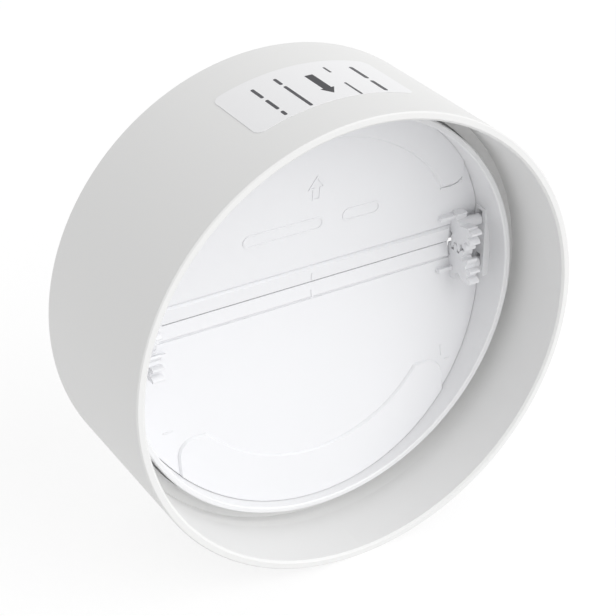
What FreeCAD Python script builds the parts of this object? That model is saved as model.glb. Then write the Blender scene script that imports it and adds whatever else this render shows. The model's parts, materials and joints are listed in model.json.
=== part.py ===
"""Backdraft damper for a 150 mm round duct: two gear-coupled flaps in a ring inside a sleeve.

Millimetres. The origin is on the duct axis at the middle of the sleeve, +Y points to the inlet,
-Y to the outlet and +Z up. Depths are counted from the outlet face towards the inlet.
"""
import FreeCAD, Part
import math
import os
import re

import Sketcher

SIZES = {
    # Sleeve with a duct socket at each end
    "duct_bore_radius": 75.25,
    "sleeve_wall": 2.8,
    "sleeve_length": 62,
    "inlet_socket_depth": 30.5,
    "socket_margin": 0.5,
    "socket_taper": 0.35,
    "stop_rib_height": 3.9,
    "stop_rib_width": 2.5,
    "rim_chamfer": 0.4,
    "mouth_chamfer": 0.7,
    # Ring that stands inside the sleeve, with room for the duct wall around it
    "duct_gap": 4.65,
    "ring_wall": 2.1,
    "ring_length": 22,
    "ring_back_reach": 12.5,
    "ring_chamfer": 0.4,
    "flange_thickness": 2,
    "flange_seat_drop": 0.65,
    "flange_clearance": 0.05,
    # Bearing pads on the ring
    "pivot_setback": 10,
    "parting_height": 4.8,
    "bearing_pad_depth": 2.5,
    "bearing_margin": 4.5,
    "bearing_front_reach": 3,
    "bearing_back_reach": 4,
    "bearing_end_play": 0.3,
    "snap_slot_width": 2.6,
    "snap_slot_reach": 3.3,
    # Seats that stop the closed flaps
    "seat_height": 2.2,
    "seat_thickness": 1.2,
    "seat_gap": 0.3,
    "seat_start": 13,
    # Hinge ends of the flaps
    "pin_radius": 1.5,
    "pin_length": 3.3,
    "pin_clearance": 0.05,
    "barrel_radius": 1.9,
    "barrel_length": 9.2,
    "gear_module": 1.15,
    "gear_tooth_count": 14,
    "upper_tooth_count": 5,
    "lower_tooth_count": 6,
    "pressure_angle": 20,
    "root_depth_ratio": 1.25,
    "tooth_overlap": 0.3,
    "gear_spread": 0.1,
    "gear_backlash": 0.16,
    "gear_width": 4,
    "gear_shoulder": 5.2,
    "gear_web_height": 8,
    "rib_length": 5.5,
    "rib_height": 2,
    "rib_thickness": 1.2,
    "upper_rib_offset": 2.6,
    "lower_rib_offset": 0.2,
    # Flap plates
    "flap_thickness": 1.2,
    "plate_setback": 3,
    "flap_clearance": 0.2,
    "swing_trim_angle": 25,
    "parting_gap": 1,
    "parting_shift": 0.9,
    "lip_foot": 2,
    "lip_gap": 0.1,
    "lip_overlap": 1,
    "lip_thickness": 0.8,
    "upper_tilt": 6.5,
    "lower_tilt": 9.3,
    "strip_width": 5.4,
    "strip_height": 0.8,
    "strip_slope": 0.6,
    "groove_width": 0.6,
    "groove_depth": 0.4,
    "strip_gap": 0.9,
    "mesh_notch_gap": 0.25,
    "gear_relief": 0.1,
    "bearing_relief": 0.4,
    "crescent_height": 0.8,
    "crescent_slope": 0.6,
    "upper_crescent_radius": 58,
    "upper_crescent_end": 28,
    "upper_crescent_half_width": 59,
    "upper_crescent_corner": 4.5,
    "lower_crescent_radius": 53,
    "lower_crescent_end": 35,
    "lower_crescent_half_width": 50.5,
    "lower_crescent_corner": 6,
    # Sticker on top of the sleeve
    "label_length": 28,
    "label_shift": -1,
    "label_arc": 40.5,
    "label_turn": 0.6,
    "label_thickness": 0.15,
    "label_gap": 0.02,
    "label_corner": 3,
}

# Sizes worked out from the driving dimensions
SLEEVE_OUTER = "(duct_bore_radius + sleeve_wall)"
FLANGE_SEAT = "(duct_bore_radius - flange_seat_drop)"
FLANGE_BACK = "(sleeve_length - inlet_socket_depth)"
FLANGE_FRONT = f"({FLANGE_BACK} - flange_thickness)"
RING_OUTER = "(duct_bore_radius - duct_gap)"
RING_INNER = f"({RING_OUTER} - ring_wall)"
RING_BACK = f"({FLANGE_BACK} + ring_back_reach)"
RING_FRONT = f"({RING_BACK} - ring_length)"
OUTLET_SOCKET_DEPTH = f"({RING_FRONT} - socket_margin)"
INLET_SOCKET_START = f"({RING_BACK} + socket_margin)"
PIVOT_DEPTH = f"({RING_BACK} - pivot_setback)"
PIVOT_SPREAD = "((gear_module * gear_tooth_count + gear_spread) / 2)"
GEAR_PITCH_ANGLE = "(360 / gear_tooth_count)"
GEAR_ROOT = "(gear_module * (gear_tooth_count / 2 - root_depth_ratio))"
GEAR_TIP = "(gear_module * (gear_tooth_count / 2 + 1))"
BEARING_FACE = f"({RING_INNER} - bearing_pad_depth)"
BARREL_END = f"({BEARING_FACE} - bearing_end_play)"
GEAR_START = f"({BARREL_END} - gear_shoulder - gear_width)"
BARREL_START = f"({BARREL_END} - barrel_length)"
RIB_START = f"({GEAR_START} - rib_length)"
STRIP_END = f"({GEAR_START} - strip_gap)"
MESH_NOTCH_START = f"({GEAR_START} - mesh_notch_gap)"
MESH_NOTCH_EDGE = f"({GEAR_TIP} + gear_relief - 2 * {PIVOT_SPREAD})"
BEARING_CORNER = "(sqrt(bearing_back_reach ^ 2 + bearing_margin ^ 2) + bearing_relief)"
BEARING_SWEEP = f"sqrt({BEARING_CORNER} ^ 2 - plate_setback ^ 2)"
PLATE_BACK = "(plate_setback + flap_thickness)"

doc = FreeCAD.newDocument("duct_backdraft_damper")
sheet = doc.addObject("Spreadsheet::Sheet", "sheet")


def fill_sheet():
    """Writes the driving dimensions into the sheet, one named cell each."""
    for row, (alias, number) in enumerate(SIZES.items(), 1):
        sheet.set(f"A{row}", alias)
        sheet.set(f"B{row}", str(number))
        sheet.setAlias(f"B{row}", alias)
    doc.recompute()


def bound(expression):
    """Puts the sheet's name before each of its aliases in an expression."""
    def qualify(word):
        name = word.group()
        return f"sheet.{name}" if name in SIZES else name
    return re.sub(r"[a-z_]+", qualify, expression)


def value(expression):
    """Works an expression of sheet aliases out as a number."""
    return float(sheet.evalExpression(expression))


def depth(expression):
    """Turns a depth behind the outlet face into a place along Y."""
    return f"({expression} - sleeve_length / 2)"


def origin_feature(body, role):
    """Finds one of a body's own origin planes or axes."""
    return next(item for item in body.Origin.OriginFeatures if item.Role == role)


def new_body(label):
    body = doc.addObject("PartDesign::Body", label)
    body.Label = label
    return body


def new_sketch(body, name, plane, shift="0", turn="0"):
    """Starts a sketch on an origin plane, moved along its normal and turned about its first axis."""
    sketch = body.newObject("Sketcher::SketchObject", f"{body.Name}_{name}")
    sketch.AttachmentSupport = [(origin_feature(body, plane), "")]
    sketch.MapMode = "FlatFace"
    first_axis = FreeCAD.Vector(1, 0, 0)
    offset = FreeCAD.Vector(0, 0, value(shift))
    sketch.AttachmentOffset = FreeCAD.Placement(offset, FreeCAD.Rotation(first_axis, value(turn)))
    sketch.setExpression("AttachmentOffset.Base.z", bound(shift))
    sketch.setExpression("AttachmentOffset.Rotation.Angle", bound(turn))
    return sketch


def tie(sketch, constraint, name, expression):
    """Adds a constraint and binds its value to an expression."""
    index = sketch.addConstraint(constraint)
    sketch.renameConstraint(index, name)
    sketch.setExpression(f"Constraints.{name}", bound(expression))


def tie_point(sketch, geometry, point, x, y):
    """Binds a point's two distances from the sketch origin."""
    for kind, name, expression in (("DistanceX", "across", x), ("DistanceY", "along", y)):
        constraint = Sketcher.Constraint(kind, -1, 1, geometry, point, value(expression))
        tie(sketch, constraint, f"{name}_{geometry}_{point}", expression)


def draw_polygon(sketch, corners):
    """Draws a closed outline with corners given as pairs of expressions."""
    first = len(sketch.Geometry)
    points = [FreeCAD.Vector(value(x), value(y), 0) for x, y in corners]
    count = len(points)
    for index, point in enumerate(points):
        sketch.addGeometry(Part.LineSegment(point, points[(index + 1) % count]))
    for index in range(count):
        following = first + (index + 1) % count
        sketch.addConstraint(Sketcher.Constraint("Coincident", first + index, 2, following, 1))
    for index, (x, y) in enumerate(corners):
        tie_point(sketch, first + index, 1, x, y)


def draw_rectangle(sketch, low_x, high_x, low_y, high_y):
    draw_polygon(sketch, [(low_x, low_y), (high_x, low_y), (high_x, high_y), (low_x, high_y)])


def draw_circle(sketch, x, y, radius):
    index = len(sketch.Geometry)
    centre = FreeCAD.Vector(value(x), value(y), 0)
    sketch.addGeometry(Part.Circle(centre, FreeCAD.Vector(0, 0, 1), value(radius)))
    tie_point(sketch, index, 3, x, y)
    tie(sketch, Sketcher.Constraint("Radius", index, value(radius)), f"round_{index}", radius)


def draw_sector(sketch, radius, first, last):
    """Draws a round sector about the sketch origin between two angles."""
    corners = [(f"({radius} * cos({angle}))", f"({radius} * sin({angle}))") for angle in (first, last)]
    start, finish = [FreeCAD.Vector(value(x), value(y), 0) for x, y in corners]
    centre = FreeCAD.Vector(0, 0, 0)
    rim = Part.Circle(centre, FreeCAD.Vector(0, 0, 1), value(radius))
    sketch.addGeometry(Part.LineSegment(centre, start))
    sketch.addGeometry(Part.ArcOfCircle(rim, math.radians(value(first)), math.radians(value(last))))
    sketch.addGeometry(Part.LineSegment(finish, centre))
    for ends in ((0, 1, -1, 1), (0, 2, 1, 1), (1, 3, -1, 1), (1, 2, 2, 1), (2, 2, -1, 1)):
        sketch.addConstraint(Sketcher.Constraint("Coincident", *ends))
    tie_point(sketch, 0, 2, *corners[0])
    height = corners[1][1]
    tie(sketch, Sketcher.Constraint("DistanceY", -1, 1, 2, 1, value(height)), "sector_end", height)


def revolve(body, sketch, angle="360"):
    feature = body.newObject("PartDesign::Revolution", f"{sketch.Name}_turned")
    feature.Profile = sketch
    feature.ReferenceAxis = (origin_feature(body, "Y_Axis"), [""])
    feature.Midplane = True
    feature.setExpression("Angle", bound(angle))
    doc.recompute()
    return feature


def pad(body, sketch, length, reverse=False):
    feature = body.newObject("PartDesign::Pad", f"{sketch.Name}_pad")
    feature.Profile = sketch
    feature.Reversed = reverse
    feature.setExpression("Length", bound(length))
    doc.recompute()
    return feature


def cut(body, kind, sketch, settings):
    """Adds a Pocket or Groove and makes sure that it takes material away."""
    before = body.Shape.Volume
    feature = body.newObject(kind, f"{sketch.Name}_cut")
    feature.Profile = sketch
    for name, setting in settings.items():
        setattr(feature, name, setting)
    doc.recompute()
    if not body.Shape.Volume < before:
        raise RuntimeError(f"{feature.Name} cuts nothing")
    return feature


def pocket_through(body, sketch):
    return cut(body, "PartDesign::Pocket", sketch, {"SideType": "Symmetric", "Type": "ThroughAll"})


def round_edges(body, name, radius, chosen):
    """Fillets the edges of a body that a test picks."""
    base = body.Tip
    names = [f"Edge{index}" for index, edge in enumerate(base.Shape.Edges, 1) if chosen(edge)]
    feature = body.newObject("PartDesign::Fillet", f"{body.Name}_{name}")
    feature.Base = (base, names)
    feature.setExpression("Radius", bound(radius))
    doc.recompute()
    return feature


def slope_edges(body, size, chosen):
    """Chamfers the edges of a body that a test picks."""
    base = body.Tip
    names = [f"Edge{index}" for index, edge in enumerate(base.Shape.Edges, 1) if chosen(edge)]
    feature = body.newObject("PartDesign::Chamfer", f"{body.Name}_{size}")
    feature.Base = (base, names)
    feature.setExpression("Size", bound(size))
    doc.recompute()
    return feature


def mirror_body(body):
    """Adds the mirror image across the YZ plane to everything in the body."""
    feature = body.newObject("PartDesign::Mirrored", f"{body.Name}_mirrored")
    feature.TransformMode = "Whole shape"
    feature.MirrorPlane = (origin_feature(body, "YZ_Plane"), [""])
    body.Tip = feature
    doc.recompute()
    return feature


def make_sleeve():
    """Tube with a parallel socket at each end, a slight taper and a stop rib for the ring."""
    body = new_body("duct_sleeve")
    rib_front = f"({FLANGE_FRONT} - stop_rib_width)"
    rib_inner = "(duct_bore_radius - stop_rib_height)"
    taper_end = "(duct_bore_radius - socket_taper)"
    mouth = "(duct_bore_radius + mouth_chamfer)"
    rim = f"({SLEEVE_OUTER} - rim_chamfer)"
    outline = [
        (depth("0"), mouth),
        (depth("mouth_chamfer"), "duct_bore_radius"),
        (depth(OUTLET_SOCKET_DEPTH), "duct_bore_radius"),
        (depth(rib_front), taper_end),
        (depth(rib_front), rib_inner),
        (depth(FLANGE_FRONT), rib_inner),
        (depth(FLANGE_FRONT), FLANGE_SEAT),
        (depth(FLANGE_BACK), FLANGE_SEAT),
        (depth(FLANGE_BACK), taper_end),
        (depth(INLET_SOCKET_START), "duct_bore_radius"),
        (depth("(sleeve_length - mouth_chamfer)"), "duct_bore_radius"),
        (depth("sleeve_length"), mouth),
        (depth("sleeve_length"), rim),
        (depth("(sleeve_length - rim_chamfer)"), SLEEVE_OUTER),
        (depth("rim_chamfer"), SLEEVE_OUTER),
        (depth("0"), rim),
    ]
    sketch = new_sketch(body, "profile", "YZ_Plane")
    draw_polygon(sketch, outline)
    revolve(body, sketch)
    return body


def make_ring_shell():
    """Ring wall and flange, with bearing pads, pin holes and snap slots on both sides."""
    body = new_body("ring_shell")
    edge_back = depth(f"({RING_FRONT} + ring_chamfer)")
    outline = [
        (depth(RING_FRONT), f"({RING_INNER} + ring_chamfer)"),
        (edge_back, RING_INNER),
        (depth(RING_BACK), RING_INNER),
        (depth(RING_BACK), RING_OUTER),
        (edge_back, RING_OUTER),
        (depth(RING_FRONT), f"({RING_OUTER} - ring_chamfer)"),
    ]
    sketch = new_sketch(body, "profile", "YZ_Plane")
    draw_polygon(sketch, outline)
    revolve(body, sketch)

    pad_front = depth(f"({PIVOT_DEPTH} - bearing_front_reach)")
    pad_back = depth(f"({PIVOT_DEPTH} + bearing_back_reach)")
    pad_reach = f"({PIVOT_SPREAD} + bearing_margin)"
    sketch = new_sketch(body, "bearing", "YZ_Plane", shift=BEARING_FACE)
    low = f"(parting_height - {pad_reach})"
    high = f"(parting_height + {pad_reach})"
    draw_rectangle(sketch, pad_front, pad_back, low, high)
    pad(body, sketch, f"{RING_OUTER} - {BEARING_FACE}")
    mirror_body(body)

    # The pads are trimmed flush with the outside of the ring
    sketch = new_sketch(body, "trim", "YZ_Plane")
    draw_rectangle(sketch, pad_front, pad_back, RING_OUTER, "duct_bore_radius")
    groove = {"ReferenceAxis": (origin_feature(body, "Y_Axis"), [""]), "Angle": 360}
    cut(body, "PartDesign::Groove", sketch, groove)

    holes = new_sketch(body, "pin_holes", "YZ_Plane")
    slots = new_sketch(body, "snap_slots", "YZ_Plane")
    slot_front = depth(f"({PIVOT_DEPTH} - snap_slot_width / 2)")
    slot_back = depth(f"({PIVOT_DEPTH} + snap_slot_width / 2)")
    for side in (1, -1):
        pivot = f"(parting_height + {side} * {PIVOT_SPREAD})"
        draw_circle(holes, depth(PIVOT_DEPTH), pivot, "(pin_radius + pin_clearance)")
        draw_rectangle(slots, slot_front, slot_back, pivot, f"({pivot} + snap_slot_reach)")
    pocket_through(body, holes)
    pocket_through(body, slots)

    sketch = new_sketch(body, "flange", "YZ_Plane")
    root = f"({RING_OUTER} - ring_wall / 2)"
    edge = f"({FLANGE_SEAT} - flange_clearance)"
    draw_rectangle(sketch, depth(FLANGE_FRONT), depth(FLANGE_BACK), root, edge)
    revolve(body, sketch)
    return body


class Leaf:
    """Frame of one flap: its origin is on the pivot, and away points off the parting line."""

    def __init__(self, away, tilt):
        self.away = away
        self.turn = f"({away} * {tilt})"
        self.tilt = tilt
        self.pivot = f"(parting_height + {away} * {PIVOT_SPREAD})"

    def off(self, expression):
        """A distance in the flap's plane, counted from the pivot away from the parting line."""
        return f"({self.away} * ({expression}))"

    def place(self, body):
        across = FreeCAD.Vector(1, 0, 0)
        where = FreeCAD.Vector(0, value(depth(PIVOT_DEPTH)), value(self.pivot))
        body.Placement = FreeCAD.Placement(where, FreeCAD.Rotation(across, value(self.turn)))
        body.setExpression("Placement.Base.y", bound(depth(PIVOT_DEPTH)))
        body.setExpression("Placement.Base.z", bound(self.pivot))
        body.setExpression("Placement.Rotation.Angle", bound(self.turn))

    def axis_height(self):
        """Where the duct axis crosses the flap's plane, on the plane's own upward axis."""
        return f"(-{self.pivot} / cos({self.tilt}) - plate_setback * tan({self.turn}))"

    def trim_outside(self, body, name, radius, opened="0"):
        """Cuts away what lies outside a cylinder about the duct axis, with the flap opened by an angle."""
        sketch = new_sketch(body, name, "XZ_Plane", turn=f"-({self.turn} + {self.off(opened)})")
        draw_circle(sketch, "0", f"-{self.pivot}", radius)
        draw_circle(sketch, "0", f"-{self.pivot}", "2 * duct_bore_radius")
        pocket_through(body, sketch)


UPPER = Leaf(1, "upper_tilt")
LOWER = Leaf(-1, "lower_tilt")


def make_seat(label, leaf):
    """Half-round ledge on the ring wall, just behind the edge of the closed flap."""
    body = new_body(label)
    leaf.place(body)
    behind = f"-({PLATE_BACK} + seat_gap)"
    sketch = new_sketch(body, "ledge", "XZ_Plane", shift=behind)
    reach = leaf.off(RING_OUTER)
    draw_rectangle(sketch, f"-{RING_OUTER}", RING_OUTER, leaf.off("seat_start"), reach)
    pad(body, sketch, "seat_thickness", reverse=True)
    leaf.trim_outside(body, "outside", f"({RING_INNER} + ring_wall / 2)")
    sketch = new_sketch(body, "opening", "XZ_Plane", turn=f"-{leaf.turn}")
    draw_circle(sketch, "0", f"-{leaf.pivot}", f"({RING_INNER} - seat_height)")
    pocket_through(body, sketch)
    return body


def make_ring():
    """The ring shell and its two seats as one moulding."""
    ring = doc.addObject("Part::MultiFuse", "damper_ring")
    ring.Shapes = [make_ring_shell(), make_seat("upper_seat", UPPER), make_seat("lower_seat", LOWER)]
    return ring


def tooth_outline(angle):
    """One involute tooth about the pivot: four corners of each flank, from root to tip."""
    module = value("gear_module")
    count = value("gear_tooth_count")
    pressure = math.radians(value("pressure_angle"))
    pitch_radius = module * count / 2
    base_radius = pitch_radius * math.cos(pressure)
    tip_radius = pitch_radius + module
    inside_hub = value(f"({GEAR_ROOT} - tooth_overlap)")
    half_tooth = math.pi / (2 * count) - value("gear_backlash") / (4 * pitch_radius)

    def involute(slope):
        return math.tan(slope) - slope

    def flank_point(radius, side):
        slope = math.acos(min(1, base_radius / radius))
        turn = angle + side * (half_tooth + involute(pressure) - involute(slope))
        return FreeCAD.Vector(radius * math.cos(turn), radius * math.sin(turn), 0)

    def flank(side):
        root = flank_point(base_radius, side) * (inside_hub / base_radius)
        middle_radius = (base_radius + tip_radius) / 2
        curve = [flank_point(radius, side) for radius in (base_radius, middle_radius, tip_radius)]
        return root, curve

    return flank(-1), flank(1)


def draw_tooth(sketch, angle):
    """Draws a tooth with an arc through three involute points as each flank."""
    (low_root, low_curve), (high_root, high_curve) = tooth_outline(angle)
    edges = [
        Part.LineSegment(low_root, low_curve[0]),
        Part.Arc(*low_curve),
        Part.LineSegment(low_curve[2], high_curve[2]),
        Part.Arc(*reversed(high_curve)),
        Part.LineSegment(high_curve[0], high_root),
        Part.LineSegment(high_root, low_root),
    ]
    for edge in edges:
        sketch.addGeometry(edge)


def add_gear(body, first_tooth_angle, tooth_count):
    """Web off the plate and hub sector about the pivot, with the teeth that come into mesh."""
    sketch = new_sketch(body, "gear_web", "YZ_Plane", shift=GEAR_START)
    half = "gear_web_height / 2"
    draw_rectangle(sketch, "0", f"({PLATE_BACK} - flap_thickness / 2)", f"-{half}", half)
    pad(body, sketch, "gear_width")
    sketch = new_sketch(body, "gear_hub", "YZ_Plane", shift=GEAR_START)
    first = f"({first_tooth_angle} - {GEAR_PITCH_ANGLE} / 2)"
    draw_sector(sketch, GEAR_ROOT, first, f"({first} + {tooth_count} * {GEAR_PITCH_ANGLE})")
    pad(body, sketch, "gear_width")
    sketch = new_sketch(body, "tooth", "YZ_Plane", shift=GEAR_START)
    draw_tooth(sketch, math.radians(value(first_tooth_angle)))
    tooth = pad(body, sketch, "gear_width")
    pattern = body.newObject("PartDesign::PolarPattern", f"{body.Name}_teeth")
    pattern.Originals = [tooth]
    pattern.Axis = (origin_feature(body, "X_Axis"), [""])
    pattern.setExpression("Angle", bound(f"({tooth_count} - 1) * {GEAR_PITCH_ANGLE}"))
    pattern.setExpression("Occurrences", bound(tooth_count))
    body.Tip = pattern
    doc.recompute()


def on_crescent_front(edge, leaf, name):
    """Tells whether an edge bounds the crescent's front face, away from the middle and the outer rim."""
    box = edge.BoundBox
    front = value("(plate_setback - crescent_height)")
    is_front = abs(box.YMin - front) < 1e-6 and abs(box.YMax - front) < 1e-6
    rim = value(leaf.off(RING_OUTER))
    is_rim = abs(box.ZMin - rim) < 1e-6 and abs(box.ZMax - rim) < 1e-6
    return is_front and not is_rim and box.XMax > 1e-6


def add_crescent(body, leaf, name):
    """Raised pad along the outer edge of a flap, with a round inner side and rounded ends."""
    duct_axis = leaf.axis_height()
    end = f"({leaf.off(f'{name}_crescent_end')} + {duct_axis})"
    sketch = new_sketch(body, "crescent", "XZ_Plane", shift="-plate_setback")
    draw_rectangle(sketch, "0", f"{name}_crescent_half_width", end, leaf.off(RING_OUTER))
    pad(body, sketch, "crescent_height")
    corner = value(f"{name}_crescent_half_width")

    def outer_end(edge):
        box = edge.BoundBox
        is_upright = abs(box.YLength - value("crescent_height")) < 1e-6
        return is_upright and abs(box.XMin - corner) < 1e-6 and abs(box.ZMin - value(end)) < 1e-6

    round_edges(body, "crescent_end", f"{name}_crescent_corner", outer_end)
    sketch = new_sketch(body, "crescent_inside", "XZ_Plane", shift="(crescent_height - plate_setback)")
    draw_circle(sketch, "0", duct_axis, f"{name}_crescent_radius")
    inside = cut(body, "PartDesign::Pocket", sketch, {"Length": value("crescent_height")})
    inside.setExpression("Length", bound("crescent_height"))
    slope_edges(body, "crescent_slope", lambda edge: on_crescent_front(edge, leaf, name))


def add_cylinder(body, name, start, length, radius):
    """Round bar along the hinge axis."""
    sketch = new_sketch(body, name, "YZ_Plane", shift=start)
    draw_circle(sketch, "0", "0", radius)
    pad(body, sketch, length)


def add_rib(body, leaf, offset):
    """Fin that braces the toothed sector along the plate."""
    sketch = new_sketch(body, "rib", "YZ_Plane", shift=RIB_START)
    low = leaf.off(f"{offset} - rib_thickness / 2")
    high = leaf.off(f"{offset} + rib_thickness / 2")
    draw_rectangle(sketch, "(plate_setback - rib_height)", "(plate_setback + flap_thickness / 2)", low, high)
    pad(body, sketch, "rib_length + gear_width")


def add_lip(body, leaf, parting_edge):
    """Closing lip that reaches behind the edge of the other flap."""
    foot, edge = leaf.off(f"{parting_edge} + lip_foot"), leaf.off(parting_edge)
    tip = leaf.off(f"{parting_edge} - parting_gap - lip_overlap")
    front = f"({PLATE_BACK} + lip_gap)"
    back = f"({front} + lip_thickness)"
    outline = [(PLATE_BACK, foot), (back, foot), (back, tip), (front, tip), (front, edge), (PLATE_BACK, edge)]
    sketch = new_sketch(body, "lip", "YZ_Plane")
    draw_polygon(sketch, outline)
    pad(body, sketch, STRIP_END)


def make_flap(name, leaf, first_tooth_angle):
    """Half-disc plate with a crescent, a hinge strip, and barrel, toothed sector and pin at each end."""
    body = new_body(f"{name}_flap")
    leaf.place(body)
    edge_height = f"({PIVOT_SPREAD} - parting_gap / 2 - {leaf.off('parting_shift')})"
    parting_edge = f"(-{edge_height} / cos({leaf.tilt}) - plate_setback * tan({leaf.tilt}))"
    sketch = new_sketch(body, "plate", "XZ_Plane", shift="-plate_setback")
    reach = leaf.off(RING_OUTER)
    draw_rectangle(sketch, "0", RING_OUTER, leaf.off(parting_edge), reach)
    pad(body, sketch, "flap_thickness", reverse=True)
    add_crescent(body, leaf, name)
    rim = f"({RING_INNER} - flap_clearance)"
    leaf.trim_outside(body, "outside", rim)
    leaf.trim_outside(body, "swing", rim, "swing_trim_angle")

    # The plate leaves room for the other flap's teeth and for the bearing pads
    beyond = leaf.off(f"{parting_edge} - strip_width")
    sketch = new_sketch(body, "mesh_notch", "XZ_Plane")
    draw_rectangle(sketch, MESH_NOTCH_START, RING_OUTER, beyond, leaf.off(MESH_NOTCH_EDGE))
    pocket_through(body, sketch)
    sketch = new_sketch(body, "bearing_notch", "XZ_Plane")
    draw_rectangle(sketch, BARREL_END, RING_OUTER, beyond, leaf.off(BEARING_SWEEP))
    pocket_through(body, sketch)

    sketch = new_sketch(body, "strip", "YZ_Plane")
    strip_edge = f"{parting_edge} + strip_width"
    near, far = leaf.off(parting_edge), leaf.off(strip_edge)
    slope_start = leaf.off(f"{strip_edge} - strip_slope")
    face, front = "plate_setback", "(plate_setback - strip_height)"
    draw_polygon(sketch, [(face, near), (front, near), (front, slope_start), (face, far)])
    pad(body, sketch, STRIP_END)
    sketch = new_sketch(body, "groove", "YZ_Plane")
    groove_end = leaf.off(f"{strip_edge} + groove_width")
    draw_rectangle(sketch, face, "(plate_setback + groove_depth)", far, groove_end)
    pocket_through(body, sketch)
    if leaf is LOWER:
        add_lip(body, leaf, parting_edge)

    add_rib(body, leaf, f"{name}_rib_offset")
    add_cylinder(body, "barrel", BARREL_START, "barrel_length", "barrel_radius")
    add_cylinder(body, "pin", BARREL_END, "pin_length", "pin_radius")
    add_gear(body, first_tooth_angle, f"{name}_tooth_count")
    mirror_body(body)
    return body


def make_label():
    """Thin sticker with rounded corners, bent round the top of the sleeve."""
    body = new_body("direction_label")
    sketch = new_sketch(body, "profile", "YZ_Plane")
    inside = f"({SLEEVE_OUTER} + label_gap)"
    half = "label_length / 2"
    low, high = f"(label_shift - {half})", f"(label_shift + {half})"
    draw_rectangle(sketch, low, high, inside, f"({inside} + label_thickness)")
    revolve(body, sketch, "label_arc")
    thickness = value("label_thickness")
    round_edges(body, "corners", "label_corner", lambda edge: abs(edge.Length - thickness) < 1e-6)
    body.Placement.Rotation = FreeCAD.Rotation(FreeCAD.Vector(0, 1, 0), -value("label_turn"))
    body.setExpression("Placement.Rotation.Angle", bound("-label_turn"))
    return body


def check_document():
    """Stops the build if any object of the document failed."""
    doc.recompute()
    for item in doc.Objects:
        if "Invalid" in item.State or "Error" in item.State:
            raise RuntimeError(f"{item.Label} failed: {item.State}")


def export(parts):
    """Checks each sub-part and writes it to its own file."""
    os.makedirs("parts", exist_ok=True)
    for part in parts:
        shape = part.Shape
        if shape.isNull() or not shape.isValid() or len(shape.Solids) != 1:
            raise RuntimeError(f"{part.Label} is not one valid solid")
    for part in parts:
        part.Shape.exportStep(f"parts/{part.Label}.step")


fill_sheet()
# The lower sector has a tooth on the line of centres and the upper one a gap; one tooth of each is behind it
UPPER_FIRST_TOOTH = f"(-90 - (upper_tooth_count - 1.5) * {GEAR_PITCH_ANGLE} - upper_tilt)"
LOWER_FIRST_TOOTH = f"(90 - {GEAR_PITCH_ANGLE} + lower_tilt)"
PARTS = [
    make_sleeve(),
    make_ring(),
    make_flap("upper", UPPER, UPPER_FIRST_TOOTH),
    make_flap("lower", LOWER, LOWER_FIRST_TOOTH),
    make_label(),
]
check_document()
export(PARTS)
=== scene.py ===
"""Looks of the duct backdraft damper: white mouldings, a printed sticker and a pale studio.

Metres, in the same frame as the solids: +X along the hinge lines, +Y to the inlet, +Z up.
"""

import json
import math

import bmesh
import bpy
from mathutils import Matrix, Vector


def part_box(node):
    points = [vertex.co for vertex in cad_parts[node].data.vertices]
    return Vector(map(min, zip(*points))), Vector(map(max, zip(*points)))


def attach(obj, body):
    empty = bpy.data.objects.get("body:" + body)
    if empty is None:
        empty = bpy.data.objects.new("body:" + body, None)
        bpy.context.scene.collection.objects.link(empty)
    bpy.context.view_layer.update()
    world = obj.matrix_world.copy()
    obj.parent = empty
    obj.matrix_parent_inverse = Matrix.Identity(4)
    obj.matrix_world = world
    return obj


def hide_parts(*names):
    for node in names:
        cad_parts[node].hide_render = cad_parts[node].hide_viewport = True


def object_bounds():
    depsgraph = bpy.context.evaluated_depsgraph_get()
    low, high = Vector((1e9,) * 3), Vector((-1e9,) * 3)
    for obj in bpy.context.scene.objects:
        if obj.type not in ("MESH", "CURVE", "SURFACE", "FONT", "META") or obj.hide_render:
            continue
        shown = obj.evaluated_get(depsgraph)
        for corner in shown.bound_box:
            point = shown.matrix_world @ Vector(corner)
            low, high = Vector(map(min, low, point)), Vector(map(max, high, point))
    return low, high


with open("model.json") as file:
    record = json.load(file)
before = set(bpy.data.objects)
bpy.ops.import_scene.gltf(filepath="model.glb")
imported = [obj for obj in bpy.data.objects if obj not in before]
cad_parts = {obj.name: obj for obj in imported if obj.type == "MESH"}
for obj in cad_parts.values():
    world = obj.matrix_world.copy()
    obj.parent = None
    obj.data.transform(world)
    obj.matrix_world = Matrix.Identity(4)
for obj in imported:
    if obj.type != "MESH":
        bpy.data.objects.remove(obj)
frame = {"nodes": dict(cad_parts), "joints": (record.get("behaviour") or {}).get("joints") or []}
CAD_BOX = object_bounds()
NODES = frame["nodes"]

MM = 0.001
DOWN_THE_DUCT = Vector((0, -1, 0))
ACROSS = Vector((1, 0, 0))

# Camera, as fitted to the circles of the sleeve
CAMERA_AZIMUTH = math.radians(-31.12)
CAMERA_ELEVATION = math.radians(30.44)
CAMERA_DISTANCE = 0.5826
CAMERA_LENS = 106.9
CAMERA_SHIFT = (-0.0102, -0.0006)

# Light level of the studio
SKY_LEVEL = 0.7
SUN_DIRECTION = Vector((0.48, -0.7, 0.53))
SUN_STRENGTH = 1.5
SUN_SPREAD = math.radians(60)
FLOOR_SIZE = 40
FLOOR_COLOUR = (0.9, 0.9, 0.9)
FLOOR_SHADE = (0.2, 0.2, 0.2)
FLOOR_GLOW = 0.82

# Colour and roughness of the mouldings, the sticker and its print
SLEEVE_COLOUR = (0.8, 0.8, 0.795)
SLEEVE_ROUGHNESS = 0.46
RING_COLOUR = (0.845, 0.847, 0.857)
RING_ROUGHNESS = 0.36
FLAP_COLOUR = (0.835, 0.838, 0.856)
FLAP_ROUGHNESS = 0.3
LABEL_COLOUR = (0.87, 0.87, 0.88)
LABEL_ROUGHNESS = 0.4
ARROW_COLOUR = (0.03, 0.03, 0.036)
LINE_COLOUR = (0.06, 0.06, 0.068)
INK_ROUGHNESS = 0.5

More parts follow.
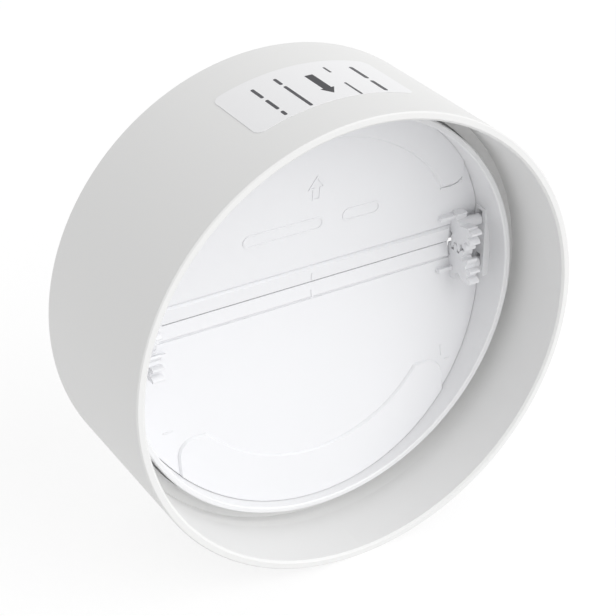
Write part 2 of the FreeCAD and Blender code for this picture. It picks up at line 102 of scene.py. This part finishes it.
# Faint clouds and fine grain of the surfaces, with sizes in millimetres
MOULDED_CLOUD = 60
MOULDED_GRAIN = 0.35
MOULDED_TONE = 0.004
LABEL_CLOUD = 6
LABEL_GRAIN = 0.15
INK_CLOUD = 2
INK_GRAIN = 0.1
INK_TONE = 0.15
GRAIN_RELIEF = 0.0012
CLOUD_DETAIL = 3
GRAIN_DETAIL = 2
NOISE_RANGE = (0.3, 0.7)
GLOSS_SPREAD = 0.02

# Making of the thin pieces
WELD_DISTANCE = 1e-9
SHARP_EDGE = math.radians(30)
CORNER_STEPS = 6
BEND_SLICE = 1
FRONT_FACING = 0.9

# Sticker and its print, in millimetres along its arc and along the duct axis
STICKER_CORNER = 3
PRINT_THICKNESS = 0.02
ARROW_CENTRE = 0.45
ARROW_TAIL = 4.3
ARROW_NECK = -6.6
ARROW_TIP = -10.6
ARROW_SHAFT = 2.8
ARROW_HEAD = 4.8
PRINT_LINES = [
    # Place on the arc, bar width, and the two ends of each bar along the axis
    (-17.4, 1.1, [(7.5, 0.5), (-1.3, -8.6), (-10.2, -13.2)]),
    (-9.2, 1.1, [(8.1, 3.3), (1.9, -14.0)]),
    (7.9, 0.8, [(7.9, 3.4)]),
    (7.4, 0.8, [(-5.2, -15.0)]),
    (16.9, 1.5, [(6.8, -3.4), (-5.2, -13.8)]),
]

# Raised marks on the flaps, in millimetres from the hinge line
MARK_HEIGHT = 0.25
MARK_SINK = 0.05
MARK_STROKE = 0.55
GUIDE_CENTRE = 2.7
GUIDE_FOOT = 23.2
GUIDE_NECK = 27.3
GUIDE_TIP = 32.2
GUIDE_SHAFT = 3.0
GUIDE_HEAD = 6.4
FIELD_LOW = 11.9
FIELD_HIGH = 16.7
FIELDS = [(-23, 6), (13, 27)]
STRIP_RISE = 0.8
TICK_PLACE = (2.4, 3.0)
TICK_REACH = (-6.6, -4.0)
FOOT_MARKS = [
    # Two ends across the flap, then two ends up from its hinge
    (50.7, 51.2, -31.2, -27.4),
    (52.2, 54.2, -33.2, -32.7),
    (-54.6, -51.0, -27.2, -26.7),
]

# Bead under each end of the upper flap's crescent, in millimetres from the duct axis
CRESCENT_HEIGHT = 0.8
CRESCENT_RADIUS = 58
CRESCENT_END = 28
CRESCENT_WIDTH = 59
CRESCENT_CORNER = 4.5
BEAD_HEIGHT = 0.4
BEAD_GAP = 0.2
BEAD_WIDTH = 0.6
BEAD_STOP = math.radians(-35)
BEAD_STEPS = 10

# Thin lip that narrows the running gap round the upper flap, in millimetres
LIP_REACH = 0.14
LIP_ROOT = 0.3
LIP_SINK = 0.05
LIP_DEPTH = 0.3
LIP_SLICE = math.radians(1)
LIP_STRETCHES = [
    # First direction round the duct axis, and how far the flap's front stands out there
    (math.radians(26), 0),
    (math.radians(31.5), CRESCENT_HEIGHT),
]


def new_object(name, mesh, material):
    """Adds a mesh to the scene with one material."""
    piece = bpy.data.objects.new(name, mesh)
    bpy.context.scene.collection.objects.link(piece)
    mesh.materials.append(material)
    return piece


def shader_nodes(name):
    """Starts a material and returns it with its nodes, its links and its surface shader."""
    material = bpy.data.materials.new(name)
    material.use_nodes = True
    nodes = material.node_tree.nodes
    return material, nodes, material.node_tree.links, nodes["Principled BSDF"]


def noise(nodes, links, size, detail):
    """Noise with cells of a real size in millimetres, fixed to the piece."""
    place = nodes.new("ShaderNodeTexCoord")
    texture = nodes.new("ShaderNodeTexNoise")
    texture.inputs["Scale"].default_value = 1 / (size * MM)
    texture.inputs["Detail"].default_value = detail
    links.new(place.outputs["Object"], texture.inputs["Vector"])
    return texture.outputs["Fac"]


def vary(nodes, links, source, low, high):
    """Spreads a noise value between two numbers."""
    spread = nodes.new("ShaderNodeMapRange")
    spread.inputs["From Min"].default_value, spread.inputs["From Max"].default_value = NOISE_RANGE
    spread.inputs["To Min"].default_value = low
    spread.inputs["To Max"].default_value = high
    links.new(source, spread.inputs["Value"])
    return spread.outputs["Result"]


def moulded(name, colour, roughness, cloud=MOULDED_CLOUD, grain=MOULDED_GRAIN, tone=MOULDED_TONE):
    """Moulding, film or ink: faint clouds of tone and gloss, and a fine surface grain."""
    material, nodes, links, shader = shader_nodes(name)
    clouds = noise(nodes, links, cloud, CLOUD_DETAIL)
    fine = noise(nodes, links, grain, GRAIN_DETAIL)

    ramp = nodes.new("ShaderNodeValToRGB")
    for element, place, factor in zip(ramp.color_ramp.elements, NOISE_RANGE, (1 - tone, 1 + tone)):
        element.position = place
        element.color = (*(min(1, channel * factor) for channel in colour), 1)
    links.new(clouds, ramp.inputs["Fac"])
    links.new(ramp.outputs["Color"], shader.inputs["Base Color"])
    gloss = vary(nodes, links, clouds, roughness - GLOSS_SPREAD, roughness + GLOSS_SPREAD)
    links.new(gloss, shader.inputs["Roughness"])

    bump = nodes.new("ShaderNodeBump")
    bump.inputs["Distance"].default_value = GRAIN_RELIEF * MM
    links.new(fine, bump.inputs["Height"])
    links.new(bump.outputs["Normal"], shader.inputs["Normal"])
    return material


def ink(name, colour):
    """Dull print ink."""
    return moulded(name, colour, INK_ROUGHNESS, INK_CLOUD, INK_GRAIN, INK_TONE)


def arrow(centre, tail, neck, tip, shaft, head):
    """Outline of a plain arrow along the second axis."""
    half, wing = shaft / 2, head / 2
    return [
        (centre - half, tail), (centre - half, neck), (centre - wing, neck), (centre, tip),
        (centre + wing, neck), (centre + half, neck), (centre + half, tail),
    ]


def rounded(low_x, high_x, low_y, high_y, radius):
    """Outline of a rectangle with round corners."""
    corners = [
        (high_x - radius, high_y - radius, 0), (low_x + radius, high_y - radius, 90),
        (low_x + radius, low_y + radius, 180), (high_x - radius, low_y + radius, 270),
    ]
    outline = []
    for x, y, start in corners:
        for step in range(CORNER_STEPS):
            angle = math.radians(start + 90 * step / CORNER_STEPS)
            outline.append((x + radius * math.cos(angle), y + radius * math.sin(angle)))
    return outline


def bar(low_x, high_x, low_y, high_y):
    """Outline of a bar with round ends along its longer side."""
    return rounded(low_x, high_x, low_y, high_y, min(high_x - low_x, high_y - low_y) / 2)


def inset(outline, width):
    """Moves each side of an outline inwards by a width."""
    moved = []
    count = len(outline)
    turn = sum(
        outline[i][0] * outline[(i + 1) % count][1] - outline[(i + 1) % count][0] * outline[i][1]
        for i in range(count)
    )
    side = 1 if turn > 0 else -1
    for index in range(count):
        before, here, after = (Vector(outline[(index + k) % count]) for k in (-1, 0, 1))
        first = (here - before).normalized()
        second = (after - here).normalized()
        normal = Vector((-first.y - second.y, first.x + second.x)).normalized()
        reach = width / normal.dot(Vector((-first.y, first.x)))
        moved.append(tuple(here + side * reach * normal))
    return moved


def scaled(outline):
    """Turns an outline in millimetres into metres."""
    return [(x * MM, y * MM) for x, y in outline]


def flat_shape(outlines, thickness):
    """Fills closed outlines, holes included, and gives them a thickness upwards from zero."""
    curve = bpy.data.curves.new("outline", "CURVE")
    curve.dimensions = "2D"
    curve.fill_mode = "BOTH"
    curve.extrude = thickness / 2
    for outline in outlines:
        spline = curve.splines.new("POLY")
        spline.points.add(len(outline) - 1)
        spline.use_cyclic_u = True
        for point, (x, y) in zip(spline.points, outline):
            point.co = (x, y, 0, 1)
    holder = bpy.data.objects.new("outline", curve)
    mesh = bpy.data.meshes.new_from_object(holder)
    bpy.data.objects.remove(holder)
    shape = bmesh.new()
    shape.from_mesh(mesh)
    bmesh.ops.remove_doubles(shape, verts=shape.verts, dist=WELD_DISTANCE)
    bmesh.ops.translate(shape, verts=shape.verts, vec=(0, 0, thickness / 2))
    return shape


def finish_shape(shape, name, material, body):
    """Turns a shape into a piece that rides on a body."""
    bmesh.ops.recalc_face_normals(shape, faces=shape.faces)
    for face in shape.faces:
        face.smooth = True
    for edge in shape.edges:
        edge.smooth = edge.calc_face_angle(0) < SHARP_EDGE
    mesh = bpy.data.meshes.new(name)
    shape.to_mesh(mesh)
    shape.free()
    piece = new_object(name, mesh, material)
    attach(piece, body)
    return piece


def bend_round(shape, radius):
    """Slices a flat shape finely and bends it round the duct axis, with its base at a radius."""
    reach = max(abs(vertex.co.x) for vertex in shape.verts)
    slices = math.ceil(reach / (BEND_SLICE * MM))
    for index in range(-slices, slices + 1):
        everything = [*shape.verts, *shape.edges, *shape.faces]
        place = (index * BEND_SLICE * MM, 0, 0)
        bmesh.ops.bisect_plane(shape, geom=everything, plane_co=place, plane_no=(1, 0, 0))
    for vertex in shape.verts:
        arc, along, height = vertex.co
        angle = arc / radius
        vertex.co = ((radius + height) * math.sin(angle), along, (radius + height) * math.cos(angle))


def dress_frame():
    """Gives every solid its moulded finish."""
    sleeve = moulded("sleeve_plastic", SLEEVE_COLOUR, SLEEVE_ROUGHNESS)
    ring = moulded("ring_plastic", RING_COLOUR, RING_ROUGHNESS)
    flap = moulded("flap_plastic", FLAP_COLOUR, FLAP_ROUGHNESS)
    label = moulded("label_film", LABEL_COLOUR, LABEL_ROUGHNESS, LABEL_CLOUD, LABEL_GRAIN)
    finishes = {
        "duct_sleeve": sleeve,
        "damper_ring": ring,
        "upper_flap": flap,
        "lower_flap": flap,
        "direction_label": label,
    }
    for node, material in finishes.items():
        mesh = NODES[node].data
        mesh.materials.clear()
        mesh.materials.append(material)
    return flap, label


def lay_sticker(material):
    """Smooth sticker in the place of its solid; returns the radius of its face."""
    points = [vertex.co for vertex in NODES["direction_label"].data.vertices]
    radii = [math.hypot(point.x, point.z) for point in points]
    inside, face = min(radii), max(radii)
    arcs = [inside * math.atan2(point.x, point.z) for point in points]
    along = [point.y for point in points]
    outline = rounded(min(arcs), max(arcs), min(along), max(along), STICKER_CORNER * MM)
    shape = flat_shape([outline], face - inside)
    bend_round(shape, inside)
    sticker = finish_shape(shape, "sticker", material, "housing")
    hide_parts("direction_label")
    return face


def print_on_sticker(name, outlines, material, radius):
    """Lays a printed shape on the round face of the sticker."""
    shape = flat_shape([scaled(outline) for outline in outlines], PRINT_THICKNESS * MM)
    bend_round(shape, radius)
    finish_shape(shape, name, material, "housing")


def print_sticker(film):
    """Sticker with a bold flow arrow and plain bars."""
    radius = lay_sticker(film)
    outline = arrow(ARROW_CENTRE, ARROW_TAIL, ARROW_NECK, ARROW_TIP, ARROW_SHAFT, ARROW_HEAD)
    print_on_sticker("flow_arrow", [outline], ink("arrow_ink", ARROW_COLOUR), radius)
    bars = []
    for place, width, runs in PRINT_LINES:
        for high, low in runs:
            bars.append(bar(place - width / 2, place + width / 2, low, high))
    print_on_sticker("print_lines", bars, ink("line_ink", LINE_COLOUR), radius)


def plate_axes(flap):
    """Foot of the hinge on a flap's front face, and that face's upward direction and outward normal."""
    faces = [face for face in NODES[flap].data.polygons if face.normal.dot(DOWN_THE_DUCT) > FRONT_FACING]
    plate = max(faces, key=lambda face: face.area)
    normal = plate.normal.copy()
    hinge = next(Vector(joint["pos_m"]) for joint in frame["joints"] if joint["name"] == f"{flap}_hinge")
    foot = hinge + (plate.center - hinge).dot(normal) * normal
    return foot, ACROSS.cross(-normal).normalized(), normal


def raise_on_flap(name, flap, outlines, material, base=0, height=MARK_HEIGHT):
    """Raises shapes on the front of a flap, given as places across it and up from its hinge."""
    foot, upward, normal = plate_axes(flap)
    shape = flat_shape([scaled(outline) for outline in outlines], (height + MARK_SINK) * MM)
    for vertex in shape.verts:
        across, up, rise = vertex.co
        lift = rise + (base - MARK_SINK) * MM
        vertex.co = foot + across * ACROSS + up * upward + lift * normal
    finish_shape(shape, name, material, flap)


def mark_flaps(material):
    """Arrow and fields on the upper flap, a tick on each hinge strip, and small marks at the foot."""
    guide = arrow(GUIDE_CENTRE, GUIDE_FOOT, GUIDE_NECK, GUIDE_TIP, GUIDE_SHAFT, GUIDE_HEAD)
    outlines = [guide, inset(guide, MARK_STROKE)]
    for low, high in FIELDS:
        field = bar(low, high, FIELD_LOW, FIELD_HIGH)
        outlines += [field, inset(field, MARK_STROKE)]
    raise_on_flap("guide_marks", "upper_flap", outlines, material)
    low, high = TICK_REACH
    raise_on_flap("upper_tick", "upper_flap", [bar(*TICK_PLACE, low, high)], material, STRIP_RISE)
    raise_on_flap("lower_tick", "lower_flap", [bar(*TICK_PLACE, -high, -low)], material, STRIP_RISE)
    raise_on_flap("foot_marks", "lower_flap", [bar(*mark) for mark in FOOT_MARKS], material)


def arc_points(centre, radius, first, last):
    """Points along an arc from one direction to another."""
    directions = [first + (last - first) * step / BEAD_STEPS for step in range(BEAD_STEPS + 1)]
    return [(centre[0] + radius * math.cos(a), centre[1] + radius * math.sin(a)) for a in directions]


def bead_path(offset):
    """Line under the right-hand end of the crescent, at a distance outside it."""
    low = CRESCENT_END - offset
    inner = math.sqrt((CRESCENT_RADIUS - offset) ** 2 - low ** 2)
    corner = (CRESCENT_WIDTH - CRESCENT_CORNER, CRESCENT_END + CRESCENT_CORNER)
    return [(inner, low)] + arc_points(corner, CRESCENT_CORNER + offset, -math.pi / 2, BEAD_STOP)


def bead_crescent(material):
    """Beads under both ends of the upper flap's crescent."""
    foot, upward, normal = plate_axes("upper_flap")
    on_axis = Vector((0, foot.dot(normal) / normal.y, 0))
    middle = (on_axis - foot).dot(upward) / MM
    bead = bead_path(BEAD_GAP) + bead_path(BEAD_GAP + BEAD_WIDTH)[::-1]
    ends = [[(side * x, y + middle) for x, y in bead] for side in (-1, 1)]
    raise_on_flap("crescent_beads", "upper_flap", ends, material, height=BEAD_HEIGHT)


def lip_section(direction, rim, front, foot, normal):
    """Corners of the lip's section in one direction round the duct axis."""
    inside, outside = rim - LIP_ROOT * MM, rim + LIP_REACH * MM
    top = (front - LIP_SINK) * MM
    bottom = top - LIP_DEPTH * MM
    corners = []
    for radius, height in ((inside, top), (outside, top), (outside, bottom), (inside, bottom)):
        corner = Vector((radius * math.cos(direction), 0, radius * math.sin(direction)))
        corner.y = ((foot - corner).dot(normal) + height) / normal.y
        corners.append(corner)
    return corners


def edge_upper_flap(material):
    """Thin lip round the upper flap, so that its edge meets the ring with a hairline."""
    foot, _, normal = plate_axes("upper_flap")
    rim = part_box("upper_flap")[1].z
    shape = bmesh.new()
    for start, front in LIP_STRETCHES:
        turn = math.pi - 2 * start
        slices = round(turn / LIP_SLICE)
        sections = []
        for index in range(slices + 1):
            corners = lip_section(start + turn * index / slices, rim, front, foot, normal)
            sections.append([shape.verts.new(corner) for corner in corners])
        for first, second in zip(sections, sections[1:]):
            for side in range(len(first)):
                after = (side + 1) % len(first)
                shape.faces.new((first[side], first[after], second[after], second[side]))
        shape.faces.new(sections[0])
        shape.faces.new(sections[-1])
    finish_shape(shape, "upper_lip", material, "upper_flap")


def seen_directly(nodes, links):
    """One for rays that show the background itself: camera, glossy and transmission rays."""
    path = nodes.new("ShaderNodeLightPath")
    total = path.outputs["Is Camera Ray"]
    for kind in ("Is Glossy Ray", "Is Transmission Ray"):
        add = nodes.new("ShaderNodeMath")
        add.operation = "ADD"
        add.use_clamp = True
        links.new(total, add.inputs[0])
        links.new(path.outputs[kind], add.inputs[1])
        total = add.outputs["Value"]
    return total


def lay_floor():
    """Wide pale floor under the part, white to the camera where nothing shades it."""
    material, nodes, links, shader = shader_nodes("floor")
    shader.inputs["Base Color"].default_value = (*FLOOR_COLOUR, 1)
    shader.inputs["Roughness"].default_value = 1
    shader.inputs["Specular IOR Level"].default_value = 0
    shade = nodes.new("ShaderNodeBsdfDiffuse")
    shade.inputs["Color"].default_value = (*FLOOR_SHADE, 1)
    glow = nodes.new("ShaderNodeEmission")
    glow.inputs["Strength"].default_value = FLOOR_GLOW
    pale = nodes.new("ShaderNodeAddShader")
    links.new(shade.outputs["BSDF"], pale.inputs[0])
    links.new(glow.outputs["Emission"], pale.inputs[1])
    either = nodes.new("ShaderNodeMixShader")
    links.new(seen_directly(nodes, links), either.inputs["Fac"])
    links.new(shader.outputs["BSDF"], either.inputs[1])
    links.new(pale.outputs["Shader"], either.inputs[2])
    links.new(either.outputs["Shader"], nodes["Material Output"].inputs["Surface"])

    half = FLOOR_SIZE / 2
    height = CAD_BOX[0].z
    corners = [(x * half, y * half, height) for x, y in ((-1, -1), (1, -1), (1, 1), (-1, 1))]
    mesh = bpy.data.meshes.new("floor")
    mesh.from_pydata(corners, [], [(0, 1, 2, 3)])
    new_object("floor", mesh, material)


def light_studio():
    """Even sky all round, white where it is seen, and one broad soft light from the front and above."""
    world = bpy.data.worlds.new("studio")
    bpy.context.scene.world = world
    world.use_nodes = True
    nodes = world.node_tree.nodes
    links = world.node_tree.links
    level = nodes.new("ShaderNodeMapRange")
    level.inputs["To Min"].default_value = SKY_LEVEL
    level.inputs["To Max"].default_value = 1
    links.new(seen_directly(nodes, links), level.inputs["Value"])
    background = nodes["Background"]
    background.inputs["Color"].default_value = (1, 1, 1, 1)
    links.new(level.outputs["Result"], background.inputs["Strength"])

    sun = bpy.data.lights.new("soft_sun", "SUN")
    sun.energy = SUN_STRENGTH
    sun.angle = SUN_SPREAD
    lamp = bpy.data.objects.new("soft_sun", sun)
    lamp.rotation_euler = SUN_DIRECTION.to_track_quat("Z", "Y").to_euler()
    bpy.context.scene.collection.objects.link(lamp)


def place_camera():
    """Looks at the origin from the photograph's side, with its framing as a lens shift."""
    level = math.cos(CAMERA_ELEVATION)
    backwards = Vector((
        math.sin(CAMERA_AZIMUTH) * level,
        -math.cos(CAMERA_AZIMUTH) * level,
        math.sin(CAMERA_ELEVATION),
    ))
    data = bpy.data.cameras.new("camera")
    data.lens = CAMERA_LENS
    data.shift_x, data.shift_y = CAMERA_SHIFT
    camera = bpy.data.objects.new("camera", data)
    camera.location = backwards * CAMERA_DISTANCE
    camera.rotation_euler = backwards.to_track_quat("Z", "Y").to_euler()
    bpy.context.scene.collection.objects.link(camera)
    bpy.context.scene.camera = camera


FLAP_PLASTIC, LABEL_FILM = dress_frame()
print_sticker(LABEL_FILM)
mark_flaps(FLAP_PLASTIC)
bead_crescent(FLAP_PLASTIC)
edge_upper_flap(FLAP_PLASTIC)
lay_floor()
light_studio()
place_camera()
bpy.context.scene.view_settings.view_transform = "Standard"
